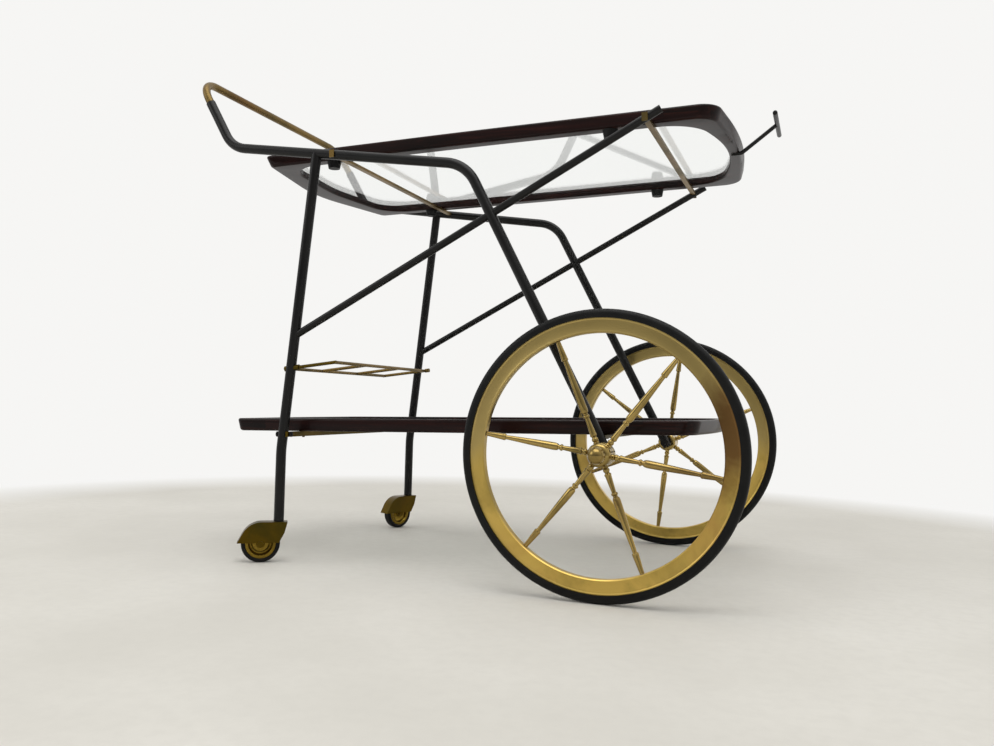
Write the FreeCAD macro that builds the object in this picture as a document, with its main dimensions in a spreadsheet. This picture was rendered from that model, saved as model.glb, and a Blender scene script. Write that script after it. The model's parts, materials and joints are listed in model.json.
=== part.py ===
import FreeCAD, Part
import math
import os
import Sketcher

# Serving trolley: two big spoked wheels, two hooded castors, a fixed lower tray, a lift-off top
# tray and a bottle rack. Lengths are in millimetres and angles in degrees. +X points to the big
# wheels, -X to the push handle and +Z up. "Near" is the -Y side and "far" the +Y side. In the
# sheet every x is measured from the big wheels' axle and every z from the floor. The part's own
# origin is on the floor under the middle of the whole trolley.

DRIVING_SIZES = {
    # side frames: one bent tube each, from the handle joint over the top rail to the axle
    "frame_half_width": 220.0,
    "frame_tube_dia": 15.0,
    "upright_lean": 31.0,
    "upright_top_z": 730.0,
    "heel_x": -628.0,
    "heel_z": 653.0,
    "heel_radius": 50.0,
    "knee_x": -217.0,
    "knee_z": 596.5,
    "knee_radius": 60.0,
    "leg_tail": 9.0,
    # front legs: raked tubes that turn upright below the lower tray
    "front_leg_dia": 15.4,
    "front_leg_wall": 1.5,
    "front_leg_x": -515.0,
    "front_leg_rake": 5.73,
    "front_leg_bend_z": 172.0,
    "front_leg_bend_radius": 150.0,
    # struts: rods that rise from the front legs past the rear legs to free ends
    "strut_dia": 11.0,
    "strut_foot_z": 348.5,
    "strut_end_x": 62.5,
    "strut_slope": 28.38,
    # push handle
    "handle_z": 773.5,
    "handle_dia": 12.6,
    "handle_wall": 1.2,
    "handle_bend_radius": 44.0,
    "handle_insert": 26.0,
    # flat bars that carry the top tray
    "top_front_bar_x": -437.0,
    "top_rear_bar_x": 42.0,
    "top_bar_width": 8.0,
    "top_bar_thick": 4.4,
    "bar_head_height": 11.5,
    "bar_head_thick": 1.6,
    # bars that carry the lower tray, with their bolts and screws
    "front_bar_thick": 4.4,
    "front_bar_height": 8.0,
    "front_bar_overlap": 6.0,
    "rear_bar_x": -10.6,
    "rear_bar_width": 12.0,
    "rear_bar_thick": 4.4,
    "bolt_dia": 4.0,
    "bolt_head_dia": 8.5,
    "bolt_head_thick": 2.6,
    "bolt_tail": 1.0,
    "nut_thick": 3.0,
    "screw_dia": 2.6,
    "screw_head_dia": 4.2,
    "screw_head_thick": 1.5,
    "screw_depth": 5.0,
    # outline and section shared by both trays
    "tray_half_width": 191.0,
    "tray_bow": 2.0,
    "tray_bow_radius": 6000.0,
    "tray_narrowing": 3.0,
    "tray_handle_point": 40.0,
    "tray_wheel_point": 21.4,
    "tray_handle_round": 12.0,
    "tray_wheel_round": 32.0,
    "tray_handle_tip_round": 300.0,
    "tray_wheel_tip_round": 1020.0,
    "tray_thick": 20.0,
    "tray_edge_round": 4.0,
    "lip_side": 14.0,
    "lip_handle": 24.0,
    "lip_handle_corner": 9.0,
    "lip_wheel": 11.0,
    "lip_wheel_corner": 14.0,
    "lip_handle_round": 40.0,
    "lip_wheel_round": 50.0,
    "lip_handle_tip_round": 280.0,
    "lip_wheel_tip_round": 640.0,
    "ledge_thick": 10.0,
    "ledge_side": 23.0,
    "ledge_handle": 38.0,
    "ledge_handle_corner": 18.0,
    "ledge_wheel": 9.0,
    "ledge_wheel_corner": 30.0,
    "ledge_handle_round": 58.0,
    "ledge_wheel_round": 64.0,
    "ledge_handle_tip_round": 260.0,
    "ledge_wheel_tip_round": 400.0,
    "handle_end_length": 92.0,
    "wheel_end_length": 88.0,
    "glass_thick": 5.0,
    # where each tray lies
    "top_tray_length": 758.6,
    "top_tray_overhang": 173.0,
    "lower_tray_length": 788.0,
    "lower_tray_x": -658.0,
    "lower_tray_z": 196.3,
    # rubber feet under the top tray
    "foot_dia": 22.0,
    "foot_tip_dia": 18.0,
    "foot_height": 11.0,
    "foot_front": 148.0,
    "foot_rear": 594.0,
    # pull handle on the top tray
    "pull_rod_dia": 6.0,
    "pull_rod_run": 15.0,
    "pull_bend_inset": 2.5,
    "pull_rod_sink": 0.5,
    "pull_bend_radius": 9.0,
    "pull_rise_angle": 36.2,
    "pull_rise_length": 65.0,
    "pull_grip_dia": 7.0,
    "pull_grip_length": 117.0,
    "pull_grip_round": 3.2,
    # bottle rack, carried by the near front leg
    "rack_rod_dia": 5.2,
    "rack_z": 298.5,
    "rack_tilt": 7.3,
    "rack_width": 83.0,
    "rack_offset": 5.0,
    "rack_pocket_1": 96.0,
    "rack_pocket_2": 114.6,
    "rack_pocket_3": 100.8,
    "rack_pin_head_dia": 8.6,
    "rack_pin_head_thick": 2.4,
    "rack_collar_dia": 8.5,
    "rack_collar_length": 7.0,
    "rack_overhang": 7.0,
    "rack_cap_dia": 7.0,
    "rack_cap_length": 8.0,
    # big wheels
    "wheel_radius": 190.0,
    "wheel_plane": 262.6,
    "wheel_dish": 9.5,
    "tyre_depth": 11.5,
    "tyre_width": 17.0,
    "tyre_round": 7.0,
    "rim_depth": 20.0,
    "rim_width": 12.0,
    "rim_round": 1.5,
    "spoke_count": 6,
    "spoke_dia": 10.4,
    "hub_dia": 31.0,
    "hub_length": 36.0,
    "hub_flange_dia": 36.0,
    "hub_flange_thick": 5.0,
    "hub_round": 1.5,
    "axle_dia": 10.0,
    "axle_collar_dia": 18.0,
    "axle_head_dia": 14.0,
    "axle_head_thick": 3.0,
    "ball_dia": 20.0,
    "ball_flat": 12.0,
    "near_wheel_turn": -8.0,
    "far_wheel_turn": 23.7,
    # castors
    "castor_wheel_dia": 58.0,
    "castor_wheel_width": 15.0,
    "castor_tyre_depth": 6.0,
    "castor_tyre_round": 3.5,
    "castor_trail": 26.0,
    "castor_axle_dia": 5.0,
    "castor_axle_head_dia": 8.0,
    "castor_axle_head_thick": 1.2,
    "castor_boss_dia": 13.0,
    "castor_web_thick": 5.0,
    "castor_ring_dia": 38.0,
    "hood_top_z": 61.8,
    "hood_front": 13.2,
    "hood_flat": 44.0,
    "hood_tail": 61.0,
    "hood_back_round": 32.0,
    "hood_low_z": 30.0,
    "hood_low_front": 1.0,
    "hood_cheek_x": 9.0,
    "hood_cheek_z": 45.0,
    "hood_cheek_round": 15.0,
    "hood_inner_width": 18.0,
    "hood_wall": 1.5,
    "hood_ear_dia": 12.0,
    "hood_boss_dia": 14.0,
    "hood_boss_depth": 6.0,
    "stem_pin_dia": 9.0,
    "stem_shank_length": 45.0,
    "stem_flange_thick": 1.0,
    "stem_head_dia": 11.0,
    "stem_head_thick": 1.8,
    "near_castor_turn": 36.0,
    "far_castor_turn": 68.0,
    # clearances
    "fit_gap": 0.05,
    "running_gap": 0.08,
    "side_gap": 0.4,
    "seat_gap": 0.2,
    "slot_gap": 0.2,
    "glass_gap": 1.0,
}

# Turned shape of a wheel spoke: (share of the way from hub to rim, share of the greatest radius).
SPOKE_TURNING = (
    (0.0, 0.62),
    (0.035, 0.78),
    (0.06, 0.6),
    (0.075, 0.88),
    (0.1, 0.8),
    (0.22, 0.56),
    (0.25, 0.66),
    (0.265, 0.86),
    (0.285, 0.62),
    (0.33, 1.0),
    (0.5, 0.88),
    (0.8, 0.54),
    (0.83, 0.88),
    (0.855, 0.8),
    (1.0, 0.58),
)

NEAR_AND_FAR = (("near", -1), ("far", 1))
X_AXIS = (1, 0, 0)
Y_AXIS = (0, 1, 0)
Z_AXIS = (0, 0, 1)
HALF_TURN = 180
QUARTER_TURN = 90
TOLERANCE = 1e-6
NUT_SIDES = 6

doc = FreeCAD.newDocument("serving_trolley")
sheet = doc.addObject("Spreadsheet::Sheet", "Sizes")
for row, (alias, number) in enumerate(DRIVING_SIZES.items(), start=1):
    sheet.set("A%d" % row, alias)
    sheet.set("B%d" % row, str(number))
    sheet.setAlias("B%d" % row, alias)
doc.recompute()
sub_parts = []


# ---- sizes that know both their number and the expression that gives it --------------------

class Size:
    """A number to lay a shape out with, and the expression that ties it to the sheet."""

    def __init__(self, number, text):
        self.number = float(number)
        self.text = text

    def combined(self, other, sign, number):
        return Size(number, "(%s %s %s)" % (self.text, sign, as_size(other).text))

    def __add__(self, other):
        return self.combined(other, "+", self.number + as_size(other).number)

    def __sub__(self, other):
        return self.combined(other, "-", self.number - as_size(other).number)

    def __mul__(self, other):
        return self.combined(other, "*", self.number * as_size(other).number)

    def __truediv__(self, other):
        return self.combined(other, "/", self.number / as_size(other).number)

    def __radd__(self, other):
        return as_size(other) + self

    def __rsub__(self, other):
        return as_size(other) - self

    def __rmul__(self, other):
        return as_size(other) * self

    def __neg__(self):
        return self * -1


def as_size(value):
    return value if isinstance(value, Size) else Size(value, "(%r)" % float(value))


def size(alias):
    return Size(sheet.get(alias), "Sizes." + alias)


def sine(angle):
    return Size(math.sin(math.radians(angle.number)), "sin(%s)" % angle.text)


def cosine(angle):
    return Size(math.cos(math.radians(angle.number)), "cos(%s)" % angle.text)


def tangent(angle):
    return Size(math.tan(math.radians(angle.number)), "tan(%s)" % angle.text)


def slope_angle(rise, run):
    """The angle, in degrees, of a line that rises by rise over run."""
    ratio = rise / run
    return Size(math.degrees(math.atan(ratio.number)), "(atan(%s) / 1 deg)" % ratio.text)


def hypotenuse(across, up):
    number = math.hypot(across.number, up.number)
    return Size(number, "sqrt(%s ^ 2 + %s ^ 2)" % (across.text, up.text))


def smallest(first, second):
    return Size(min(first.number, second.number), "min(%s; %s)" % (first.text, second.text))


def largest(first, second):
    return Size(max(first.number, second.number), "max(%s; %s)" % (first.text, second.text))


# ---- places ------------------------------------------------------------------------------

def rotation(axis, angle):
    return "rotation(vector(%d; %d; %d); %s)" % (*axis, as_size(angle).text)


def frame(x=0, y=0, z=0, turn=rotation(Z_AXIS, 0)):
    """A frame moved by x, y and z and turned, written as an expression."""
    return "placement(vector(%s; %s; %s); %s)" % (
        as_size(x).text, as_size(y).text, as_size(z).text, turn)


def place(item, *frames):
    """Put an item in the last frame; each frame lies in the one before it."""
    if frames:
        item.setExpression("Placement", " * ".join(frames))
    return item


def leaning(x, y, z, lean):
    """A frame whose +Z leans by an angle from upright towards +X."""
    return frame(x, y, z, rotation(Y_AXIS, lean))


ALONG_X = frame(turn=rotation(Y_AXIS, QUARTER_TURN))
ALONG_Y = frame(turn=rotation(X_AXIS, -QUARTER_TURN))


# ---- sketches ----------------------------------------------------------------------------

def origin_feature(body, role):
    return [item for item in body.Origin.OriginFeatures if item.Role == role][0]


def new_body(name):
    return doc.addObject("PartDesign::Body", name)


def new_sketch(body, role, lift=0, turn=0):
    """A sketch on one of the body's own planes, lifted off it and turned in it."""
    sketch = body.newObject("Sketcher::SketchObject", body.Name + "_sketch")
    sketch.AttachmentSupport = [(origin_feature(body, role), "")]
    sketch.MapMode = "FlatFace"
    sketch.setExpression("AttachmentOffset", frame(z=lift, turn=rotation(Z_AXIS, turn)))
    return sketch


def constrain(sketch, kind, *references):
    """Add a constraint; a Size as its last reference is bound to the sheet."""
    value = references[-1]
    if isinstance(value, Size):
        constraint = Sketcher.Constraint(kind, *references[:-1], value.number)
        index = sketch.addConstraint(constraint)
        sketch.setExpression("Constraints[%d]" % index, value.text)
    else:
        sketch.addConstraint(Sketcher.Constraint(kind, *references))


def pin_point(sketch, geometry, end, across, up):
    """Fix a point of the sketch at its distances from the sketch's origin."""
    constrain(sketch, "DistanceX", -1, 1, geometry, end, as_size(across))
    constrain(sketch, "DistanceY", -1, 1, geometry, end, as_size(up))


def draw_circle(sketch, radius, across=0, up=0):
    centre = FreeCAD.Vector(as_size(across).number, as_size(up).number, 0)
    normal = FreeCAD.Vector(0, 0, 1)
    circle = sketch.addGeometry(Part.Circle(centre, normal, as_size(radius).number))
    constrain(sketch, "Radius", circle, as_size(radius))
    pin_point(sketch, circle, 3, across, up)


def draw_line_through(sketch, corners, closed=True):
    """Join corners, each (across, up) or (across, up, rounding radius), with straight lines."""
    count = len(corners)
    spots = [FreeCAD.Vector(as_size(c[0]).number, as_size(c[1]).number, 0) for c in corners]
    radii = [as_size(c[2]) if len(c) > 2 else None for c in corners]

    def direction(first, second):
        return (spots[second % count] - spots[first % count]).normalize()

    trims = []
    for index, radius in enumerate(radii):
        turn = direction(index - 1, index).getAngle(direction(index, index + 1)) if radius else 0
        trims.append(radius.number * math.tan(turn / 2) if radius else 0)
    lines = []
    for index in range(count if closed else count - 1):
        following = (index + 1) % count
        along = direction(index, following)
        start = spots[index] + along * trims[index]
        end = spots[following] - along * trims[following]
        lines.append(sketch.addGeometry(Part.LineSegment(start, end)))
    for index, corner in enumerate(corners):
        before = lines[index - 1] if closed or index > 0 else None
        after = lines[index] if closed or index < count - 1 else None
        if radii[index] is None:
            if before is not None and after is not None:
                constrain(sketch, "Coincident", before, 2, after, 1)
            if after is not None:
                pin_point(sketch, after, 1, corner[0], corner[1])
            else:
                pin_point(sketch, before, 2, corner[0], corner[1])
            continue
        point = sketch.addGeometry(Part.Point(spots[index]), True)
        pin_point(sketch, point, 1, corner[0], corner[1])
        constrain(sketch, "PointOnObject", point, 1, before)
        constrain(sketch, "PointOnObject", point, 1, after)
        draw_rounding(sketch, before, after, radii[index])


def draw_rounding(sketch, before, after, radius):
    """An arc that leaves the end of one line and joins the start of the next one smoothly."""
    start = sketch.Geometry[before].EndPoint
    end = sketch.Geometry[after].StartPoint
    arriving = (start - sketch.Geometry[before].StartPoint).normalize()
    leaving = (sketch.Geometry[after].EndPoint - end).normalize()
    left_turn = arriving.cross(leaving).z > 0
    inward = FreeCAD.Vector(-arriving.y, arriving.x, 0) * (1 if left_turn else -1)
    centre = start + inward * radius.number
    first, last = (start, end) if left_turn else (end, start)
    angles = [math.atan2(spot.y - centre.y, spot.x - centre.x) for spot in (first, last)]
    circle = Part.Circle(centre, FreeCAD.Vector(0, 0, 1), radius.number)
    arc = sketch.addGeometry(Part.ArcOfCircle(circle, *angles))
    near_start, near_end = (1, 2) if left_turn else (2, 1)
    constrain(sketch, "Tangent", before, 2, arc, near_start)
    constrain(sketch, "Tangent", arc, near_end, after, 1)
    constrain(sketch, "Radius", arc, radius)


# ---- features ----------------------------------------------------------------------------

def bind(item, name, value):
    item.setExpression(name, as_size(value).text)


def pad(body, sketch, length, both_ways=False, downward=False):
    feature = body.newObject("PartDesign::Pad", body.Name + "_pad")
    feature.Profile = sketch
    feature.Midplane = both_ways
    feature.Reversed = downward
    bind(feature, "Length", length)
    return feature


def pocket(body, sketch, length, both_ways=False):
    """Cut a sketch's shape into the body, and make sure that something was cut."""
    doc.recompute()
    before = body.Shape.Volume
    feature = body.newObject("PartDesign::Pocket", body.Name + "_pocket")
    feature.Profile = sketch
    feature.Midplane = both_ways
    bind(feature, "Length", length)
    doc.recompute()
    if body.Shape.Volume > before - TOLERANCE:
        raise RuntimeError("a pocket cut nothing from " + body.Name)
    return feature


def revolved(name, corners, role="XY_Plane", axis="V_Axis", turn=0):
    """A body turned about an axis of its sketch from a closed outline."""
    body = new_body(name)
    sketch = new_sketch(body, role, turn=turn)
    draw_line_through(sketch, corners)
    feature = body.newObject("PartDesign::Revolution", name + "_turning")
    feature.Profile = sketch
    feature.ReferenceAxis = (sketch, [axis])
    feature.Angle = 2 * HALF_TURN
    return body


def bent_tube(name, role, corners, outer_radius, inner_radius=None):
    """A body swept along straight runs joined by arcs, hollow if it has an inner radius."""
    body = new_body(name)
    path = new_sketch(body, role)
    draw_line_through(path, corners, closed=False)
    doc.recompute()
    section = body.newObject("Sketcher::SketchObject", name + "_section")
    section.AttachmentSupport = [(path, "Edge1")]
    section.MapMode = "NormalToEdge"
    draw_circle(section, outer_radius)
    area = math.pi * outer_radius.number ** 2
    if inner_radius is not None:
        draw_circle(section, inner_radius)
        area -= math.pi * inner_radius.number ** 2
    doc.recompute()
    pipe = body.newObject("PartDesign::AdditivePipe", name + "_pipe")
    pipe.Profile = section
    pipe.Spine = (path, ["Edge%d" % (index + 1) for index in range(len(path.Shape.Edges))])
    doc.recompute()
    wanted = area * path.Shape.Length
    if abs(body.Shape.Volume - wanted) > wanted * 1e-3:
        raise RuntimeError("the tube %s doesn't follow its path" % name)
    return body


def rod(radius, length, *frames):
    """A round bar that starts at the frame's origin and runs along its +Z."""
    item = doc.addObject("Part::Cylinder", "Rod")
    bind(item, "Radius", radius)
    bind(item, "Height", length)
    return place(item, *frames)


def block(length, width, height, *frames):
    item = doc.addObject("Part::Box", "Block")
    bind(item, "Length", length)
    bind(item, "Width", width)
    bind(item, "Height", height)
    return place(item, *frames)


def centred_block(length, width, height, *frames):
    return block(length, width, height, *frames, frame(-length / 2, -width / 2, -height / 2))


def joined(*items):
    fusion = doc.addObject("Part::MultiFuse", "Joined")
    fusion.Shapes = list(items)
    fusion.Refine = True
    return fusion


def grouped(*items):
    group = doc.addObject("Part::Compound", "Group")
    group.Links = list(items)
    return group


def cut_by(item, *tools):
    cut = doc.addObject("Part::Cut", "Cut")
    cut.Base = item
    cut.Tool = tools[0] if len(tools) == 1 else joined(*tools)
    return cut


def common(item, zone):
    shared = doc.addObject("Part::Common", "Common")
    shared.Base = item
    shared.Tool = zone
    return shared


def finish(item, label):
    """Name an item as one of the trolley's pieces."""
    item.Label = label
    sub_parts.append(item)
    return item


# ---- derived sizes -----------------------------------------------------------------------

fit_gap = size("fit_gap")
running_gap = size("running_gap")
side_gap = size("side_gap")
seat_gap = size("seat_gap")
half_width = size("frame_half_width")
tube_radius = size("frame_tube_dia") / 2
leg_radius = size("front_leg_dia") / 2
strut_radius = size("strut_dia") / 2
wheel_radius = size("wheel_radius")
lean = size("upright_lean")
rake = size("front_leg_rake")
slope = size("strut_slope")
heel_x = size("heel_x")
heel_z = size("heel_z")
knee_x = size("knee_x")
knee_z = size("knee_z")
front_leg_x = size("front_leg_x")

# the rail rises from the knee to the heel, and the rear leg leans from the axle to the knee
rail_angle = slope_angle(heel_z - knee_z, knee_x - heel_x)
rear_leg_lean = slope_angle(-knee_x, knee_z - wheel_radius)
rail_fall = (heel_z - knee_z) / (heel_x - knee_x)


def rail_z(x):
    return knee_z + rail_fall * (x - knee_x)


def front_leg_at(z):
    """The x of a raked front leg's middle at a height above its bend."""
    return front_leg_x + tangent(rake) * (z - size("front_leg_bend_z"))


rail_z_over_axle = rail_z(as_size(0))
front_leg_top_x = front_leg_at(rail_z_over_axle) / (1 - tangent(rake) * rail_fall)
front_leg_top_z = rail_z(front_leg_top_x)
front_leg_foot_z = size("hood_top_z") + side_gap + size("stem_flange_thick")

strut_foot_x = front_leg_at(size("strut_foot_z"))
leg_run_per_rise = knee_x / (knee_z - wheel_radius)
strut_cross_x = leg_run_per_rise * (
    size("strut_foot_z") - tangent(slope) * strut_foot_x - wheel_radius) / (
    1 - leg_run_per_rise * tangent(slope))


def strut_z(x):
    return size("strut_foot_z") + tangent(slope) * (x - strut_foot_x)


# both trays lie parallel to the line through the top tray's two bars
top_front_bar_x = size("top_front_bar_x")
top_rear_bar_x = size("top_rear_bar_x")
bar_rise = strut_z(top_rear_bar_x) - rail_z(top_front_bar_x)
bar_run = top_rear_bar_x - top_front_bar_x
tilt = slope_angle(bar_rise, bar_run)
level_turn = rotation(Y_AXIS, -tilt)

# the whole trolley's middle, from its handle to the wheels or the top tray's pull handle
pull_reach = size("top_tray_length") - size("top_tray_overhang") - size("pull_bend_inset") + (
    size("pull_rise_length") * cosine(size("pull_rise_angle")))
pull_height = size("top_bar_thick") / 2 + seat_gap + size("pull_rod_sink") + (
    size("pull_rise_length") * sine(size("pull_rise_angle")))
pull_end_x = top_front_bar_x + pull_reach * cosine(tilt) - pull_height * sine(tilt) + (
    size("pull_grip_dia") / 2)
handle_x = heel_x - tangent(lean) * (size("handle_z") - heel_z)
middle_x = (handle_x - size("handle_dia") / 2 + largest(wheel_radius, pull_end_x)) / 2

GROUND = frame(-middle_x)
TOP_BARS = frame(top_front_bar_x, 0, rail_z(top_front_bar_x), level_turn)
TOP_TRAY = frame(-size("top_tray_overhang"), 0, size("top_bar_thick") / 2 + seat_gap)
LOWER_TRAY = frame(size("lower_tray_x"), 0, size("lower_tray_z"), level_turn)


def rail_rod(radius):
    return rod(radius, hypotenuse(knee_x - heel_x, heel_z - knee_z),
               leaning(knee_x, 0, knee_z, rail_angle - QUARTER_TURN))


def rear_leg_rod(radius):
    return rod(radius, hypotenuse(knee_x, knee_z - wheel_radius),
               leaning(0, 0, wheel_radius, -rear_leg_lean))


def front_leg_rod(radius):
    run = front_leg_top_x - front_leg_x
    rise = front_leg_top_z - size("front_leg_bend_z")
    return rod(radius, hypotenuse(run, rise),
               leaning(front_leg_x, 0, size("front_leg_bend_z"), rake))


def strut_rod(start_x, end_x):
    return rod(strut_radius, (end_x - start_x) / cosine(slope),
               leaning(start_x, 0, strut_z(start_x), QUARTER_TURN - slope))


# ---- frame -------------------------------------------------------------------------------

bar_slot_width = size("top_bar_width") + 2 * size("slot_gap")
bar_slot_height = size("top_bar_thick") + 2 * size("slot_gap")
rear_bar_along = hypotenuse(bar_run, bar_rise)
frame_depth = size("frame_tube_dia") * 2
bolt_z = -fit_gap - size("front_bar_height") / 2


def bar_slot(*frames):
    return centred_block(bar_slot_width, frame_depth, bar_slot_height, *frames)


def build_side_frame(side):
    name = side + "_side_frame"
    upright_top_x = heel_x - tangent(lean) * (size("upright_top_z") - heel_z)
    tail_x = sine(rear_leg_lean) * size("leg_tail")
    tail_z = wheel_radius - cosine(rear_leg_lean) * size("leg_tail")
    corners = (
        (upright_top_x, size("upright_top_z")),
        (heel_x, heel_z, size("heel_radius")),
        (knee_x, knee_z, size("knee_radius")),
        (tail_x, tail_z),
    )
    tube = bent_tube(name + "_tube", "XZ_Plane", corners, tube_radius,
                     size("handle_dia") / 2 + fit_gap)
    axle_hole = rod(size("axle_dia") / 2 + fit_gap, frame_depth,
                    frame(0, -frame_depth / 2, wheel_radius), ALONG_Y)
    return cut_by(tube, bar_slot(TOP_BARS), axle_hole)


def build_front_leg(side):
    name = side + "_front_leg"
    corners = (
        (front_leg_x, front_leg_foot_z),
        (front_leg_x, size("front_leg_bend_z"), size("front_leg_bend_radius")),
        (front_leg_top_x, front_leg_top_z),
    )
    tube = bent_tube(name + "_tube", "XZ_Plane", corners, leg_radius,
                     leg_radius - size("front_leg_wall"))
    tools = [rail_rod(tube_radius + fit_gap), bolt_hole(LOWER_TRAY)]
    if side == "near":
        hole = rod(size("rack_rod_dia") / 2 + fit_gap, frame_depth, RACK_MOUNT, ALONG_X,
                   frame(z=-frame_depth / 2))
        tools.append(hole)
    return cut_by(tube, *tools)


def bolt_hole(*frames):
    return rod(size("bolt_dia") / 2 + fit_gap, 2 * frame_depth, *frames,
               frame(front_bar_x - frame_depth, 0, bolt_z), ALONG_X)


def build_lower_strut():
    strut = strut_rod(strut_foot_x, strut_cross_x)
    return cut_by(strut, front_leg_rod(leg_radius + fit_gap), rear_leg_rod(tube_radius + fit_gap))


def build_upper_strut():
    strut = strut_rod(strut_cross_x, size("strut_end_x"))
    slot = bar_slot(TOP_BARS, frame(rear_bar_along))
    return cut_by(strut, rear_leg_rod(tube_radius + fit_gap), slot)


def build_handle():
    rise = (size("handle_z") - heel_z) / cosine(lean)
    start = (size("upright_top_z") - heel_z) / cosine(lean) - size("handle_insert")
    corners = (
        (-half_width, start),
        (-half_width, rise, size("handle_bend_radius")),
        (half_width, rise, size("handle_bend_radius")),
        (half_width, start),
    )
    radius = size("handle_dia") / 2
    tube = bent_tube("push_handle_tube", "YZ_Plane", corners, radius,
                     radius - size("handle_wall"))
    place(tube, GROUND, leaning(heel_x, 0, heel_z, -lean))
    finish(tube, "push_handle")


def build_top_bar(label, along, tube_edge):
    """A flat bar whose ends pass through the frame and are spread over its outer faces."""
    face = half_width + tube_edge + fit_gap
    outer = face + size("bar_head_thick")
    bar = centred_block(size("top_bar_width"), 2 * outer, size("top_bar_thick"))
    heads = []
    for side in (-1, 1):
        head = centred_block(size("top_bar_width"), size("bar_head_thick"),
                             size("bar_head_height"),
                             frame(0, side * (face + size("bar_head_thick") / 2), 0))
        heads.append(head)
    place(finish(joined(bar, *heads), label), GROUND, TOP_BARS, frame(along))


# The front bar stands against the front legs right under the lower tray, the rear bar lies flat.
tray_slope = tangent(tilt)
tray_z_at_leg = size("lower_tray_z") + tray_slope * (
    front_leg_x + size("front_leg_dia") - size("lower_tray_x"))
leg_face_x = front_leg_at(tray_z_at_leg) + leg_radius / cosine(rake) + fit_gap
front_bar_x = (leg_face_x - size("lower_tray_x")) / cosine(tilt)
rear_bar_along_tray = (size("rear_bar_x") - size("lower_tray_x")) / cosine(tilt)
screw_xs = (front_bar_x + size("front_bar_thick") / 2, rear_bar_along_tray)
bar_heights = (size("front_bar_height"), size("rear_bar_thick"))


def screw_spots():
    """The four screws that hold the lower tray down: along, across, and how thick their bar is."""
    length = size("lower_tray_length")
    for along, height in zip(screw_xs, bar_heights):
        across = tray_edge_at(length, along) - size("ledge_side") / 2
        for side in (-1, 1):
            yield along, side * across, height


def screw_holes(depth_above):
    return [rod(size("screw_dia") / 2 + fit_gap, height + fit_gap * 2 + depth_above,
                frame(along, across, -height - fit_gap * 2))
            for along, across, height in screw_spots()]


def build_lower_bars():
    thick = size("front_bar_thick")
    height = size("front_bar_height")
    reach = half_width + size("front_bar_overlap")
    bar = block(thick, 2 * reach, height, frame(front_bar_x, -reach, -fit_gap - height))
    tools = screw_holes(0)[:2]
    for side in (-1, 1):
        tools.append(bolt_hole(frame(y=side * half_width)))
    place(finish(cut_by(bar, *tools), "lower_front_bar"), GROUND, LOWER_TRAY)

    width = size("rear_bar_width")
    reach = half_width - tube_radius - fit_gap
    thick = size("rear_bar_thick")
    bar = centred_block(width, 2 * reach, thick,
                        frame(rear_bar_along_tray, 0, -fit_gap - thick / 2))
    place(finish(cut_by(bar, *screw_holes(0)[2:]), "lower_rear_bar"), GROUND, LOWER_TRAY)


def build_bolts():
    """A bolt through each front leg and the front bar, with its nut.

    The leg leans, so the head's lower edge is what seats on it.
    """
    leg_lean = rake + tilt
    head_reach = size("bolt_head_dia") / 2 - bolt_z
    leg_back_x = front_bar_x - 2 * leg_radius / cosine(leg_lean) - head_reach * tangent(leg_lean)
    back = leg_back_x - fit_gap * 2 - size("bolt_head_thick")
    nut_x = front_bar_x + size("front_bar_thick") + fit_gap
    length = nut_x + size("nut_thick") + size("bolt_tail") - back
    bolts = []
    nuts = []
    for side in (-1, 1):
        here = frame(back, side * half_width, bolt_z)
        head = rod(size("bolt_head_dia") / 2, size("bolt_head_thick"), here, ALONG_X)
        shank = rod(size("bolt_dia") / 2, length, here, ALONG_X)
        bolts.append(joined(head, shank))
        there = frame(nut_x, side * half_width, bolt_z)
        prism = doc.addObject("Part::Prism", "Nut")
        prism.Polygon = NUT_SIDES
        bind(prism, "Circumradius", size("bolt_head_dia") / 2)
        bind(prism, "Height", size("nut_thick"))
        place(prism, there, ALONG_X)
        nuts.append(cut_by(prism, rod(size("bolt_dia") / 2 + fit_gap, size("nut_thick"),
                                      there, ALONG_X)))
    place(finish(grouped(*bolts), "lower_bar_bolts"), GROUND, LOWER_TRAY)
    place(finish(grouped(*nuts), "lower_bar_nuts"), GROUND, LOWER_TRAY)


def build_screws():
    screws = []
    for along, across, height in screw_spots():
        base = -height - fit_gap * 2 - size("screw_head_thick")
        head = rod(size("screw_head_dia") / 2, size("screw_head_thick"),
                   frame(along, across, base))
        shank = rod(size("screw_dia") / 2, size("screw_depth") - base, frame(along, across, base))
        screws.append(joined(head, shank))
    place(finish(grouped(*screws), "lower_tray_screws"), GROUND, LOWER_TRAY)


# ---- trays -------------------------------------------------------------------------------

mid_half_width = size("tray_half_width") + size("tray_bow")
wheel_half_width = size("tray_half_width") - size("tray_narrowing")


def tray_edge_at(length, along):
    """How far the tray's long edge is from its middle line, at a distance from its point."""
    middle = length / 2
    if along.number < middle.number:
        share = (along - size("tray_handle_point")) / (middle - size("tray_handle_point"))
        return size("tray_half_width") + size("tray_bow") * share
    share = (along - middle) / (middle - size("tray_wheel_point"))
    return mid_half_width - (mid_half_width - wheel_half_width) * share


def drawn_in(prefix, gap=0):
    """How far a line of the lip or ledge lies in from the tray's outline, at each place."""
    names = ("handle", "handle_corner", "side", "wheel_corner", "wheel")
    return [size(prefix + name) + gap for name in names]


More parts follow.
